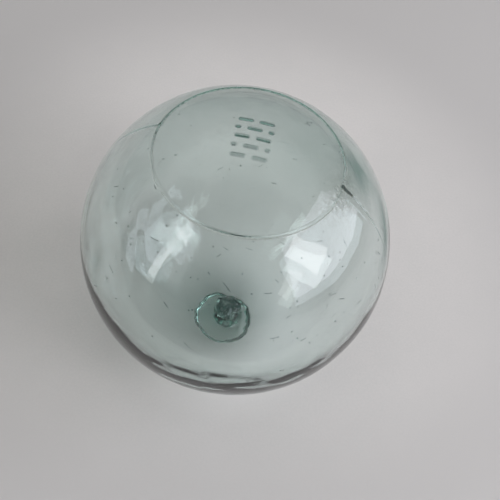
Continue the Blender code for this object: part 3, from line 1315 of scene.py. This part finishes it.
@dataclass
class Studio:
    """The pale floor, the soft light and the camera.

    The camera's distance is in ball radii. The ball's radius and middle in the picture are in pixels of the
    square picture.
    """

    centre: Array
    radius: float
    distance: float = 5.4
    tilt: float = math.radians(35.5)
    roll: float = math.radians(9.6)
    pixels: float = 500.0
    ball_pixels: float = 155.3
    middle_pixel: Pair = (235.5, 240.3)
    floor_reach: float = 3.0
    floor_drop: float = 0.1 * MM
    sensor_width: float = 36.0
    through_bounces: int = 24
    gloss_bounces: int = 12
    # The light's level at heights from the horizon to overhead
    sky_levels: tuple[Pair, ...] = (
        (0.0, 0.13), (0.45, 0.2), (0.74, 0.69), (0.88, 0.69), (1.0, 0.31),
    )
    horizon_colour: str = "dbe5f0"
    zenith_colour: str = "fffdfb"
    walls: tuple[LightWall, ...] = (
        LightWall(-20, 0.9, (
            Pane("softbox_right_white", (-0.13, 0.62), (0.33, 0.66), 3.6, "fdfbfc", 26, 0.02),
            Pane("softbox_right_strip", (-0.50, 0.38), (0.36, 0.22), 2.2, "fbfdfb", 41, 0.01),
            Pane("softbox_right_blue", (0.25, 0.61), (1.40, 0.90), 2.9, "eff0fb"),
        )),
        LightWall(-140, 1.2, (
            Pane("softbox_left_strip", (-0.01, 0.60), (0.11, 1.10), 2.9),
            Pane("softbox_left_dim", (0.20, 0.70), (0.24, 1.00), 0.6),
        )),
    )

    def camera(self) -> None:
        """The camera, above and in front, rolled so that the float's axis leans to the right."""
        rise = math.pi / 2 - self.tilt
        back = Vector((0.0, -math.cos(rise), math.sin(rise)))
        flat_up = Vector((0.0, math.sin(rise), math.cos(rise)))
        right = math.cos(self.roll) * Vector((1.0, 0.0, 0.0)) + math.sin(self.roll) * flat_up
        up = math.cos(self.roll) * flat_up - math.sin(self.roll) * Vector((1.0, 0.0, 0.0))
        focal = self.ball_pixels * math.sqrt(self.distance ** 2 - 1)
        aside = (self.middle_pixel[0] - self.pixels / 2) / focal
        above = -(self.middle_pixel[1] - self.pixels / 2) / focal
        view_back = (back + aside * right + above * up).normalized()
        view_right = (right - right.dot(view_back) * view_back).normalized()
        view_up = view_back.cross(view_right)
        data = bpy.data.cameras.new("camera")
        data.sensor_width = self.sensor_width
        data.lens = focal / self.pixels * data.sensor_width
        camera = bpy.data.objects.new("camera", data)
        turn = Matrix((view_right, view_up, view_back)).transposed()
        place = Vector(self.centre) + back * self.distance * self.radius
        camera.matrix_world = Matrix.Translation(place) @ turn.to_4x4()
        bpy.context.scene.collection.objects.link(camera)
        bpy.context.scene.camera = camera

    def sky(self) -> None:
        """Soft light from all round, dimmer near the horizon than overhead."""
        world = bpy.data.worlds.new("soft_room")
        world.use_nodes = True
        nodes = world.node_tree.nodes
        links = world.node_tree.links
        parts = nodes.new("ShaderNodeSeparateXYZ")
        links.new(nodes.new("ShaderNodeTexCoord").outputs["Generated"], parts.inputs[0])
        ramp = nodes.new("ShaderNodeValToRGB")
        ramp.color_ramp.interpolation = "EASE"
        links.new(parts.outputs["Z"], ramp.inputs["Fac"])
        low, high = (np.array(srgb(code)[:3]) for code in (self.horizon_colour, self.zenith_colour))
        for number, (height, level) in enumerate(self.sky_levels):
            stops = ramp.color_ramp.elements
            stop = stops[number] if number < len(stops) else stops.new(height)
            stop.position = height
            stop.color = (*(level * (low + (high - low) * height)), 1.0)
        links.new(ramp.outputs["Color"], nodes["Background"].inputs["Color"])
        bpy.context.scene.world = world

    def build(self, table: PaintedTable) -> None:
        """Lay the floor, set the light and the camera.

        Args:
            table: the floor's finish.
        """
        mesh = bpy.data.meshes.new("table_top")
        corners = [(x * self.floor_reach, y * self.floor_reach, -self.floor_drop)
                   for x, y in ((-1, -1), (1, -1), (1, 1), (-1, 1))]
        mesh.from_pydata(corners, [], [(0, 1, 2, 3)])
        floor = bpy.data.objects.new("table_top", mesh)
        floor.data.materials.append(table.material())
        bpy.context.scene.collection.objects.link(floor)
        for wall in self.walls:
            wall.build(self.centre)
        self.sky()
        bpy.context.scene.view_settings.view_transform = "Standard"
        paths = bpy.context.scene.cycles
        paths.max_bounces = self.through_bounces
        paths.transmission_bounces = self.through_bounces
        paths.glossy_bounces = self.gloss_bounces
        self.camera()


def main() -> None:
    """Build the float's glass, then the studio round it, and report each piece."""
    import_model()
    low, high = (np.array(corner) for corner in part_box("glass_ball"))
    radius = float(high[0] - low[0]) / 2
    centre = np.array((0.0, 0.0, float(low[2]) + radius))
    float_glass = FloatGlass(centre, radius).build(SeaGreenGlass())
    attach(float_glass, "root")
    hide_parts("glass_ball", "seal_button")
    LOG.info("%s: %d triangles", float_glass.name, len(float_glass.data.polygons))
    Studio(centre, radius).build(PaintedTable())
    LOG.info("studio: floor, light and camera")


if __name__ == "__main__":
    logging.basicConfig(level=logging.INFO, format="%(name)s: %(message)s")
    main()
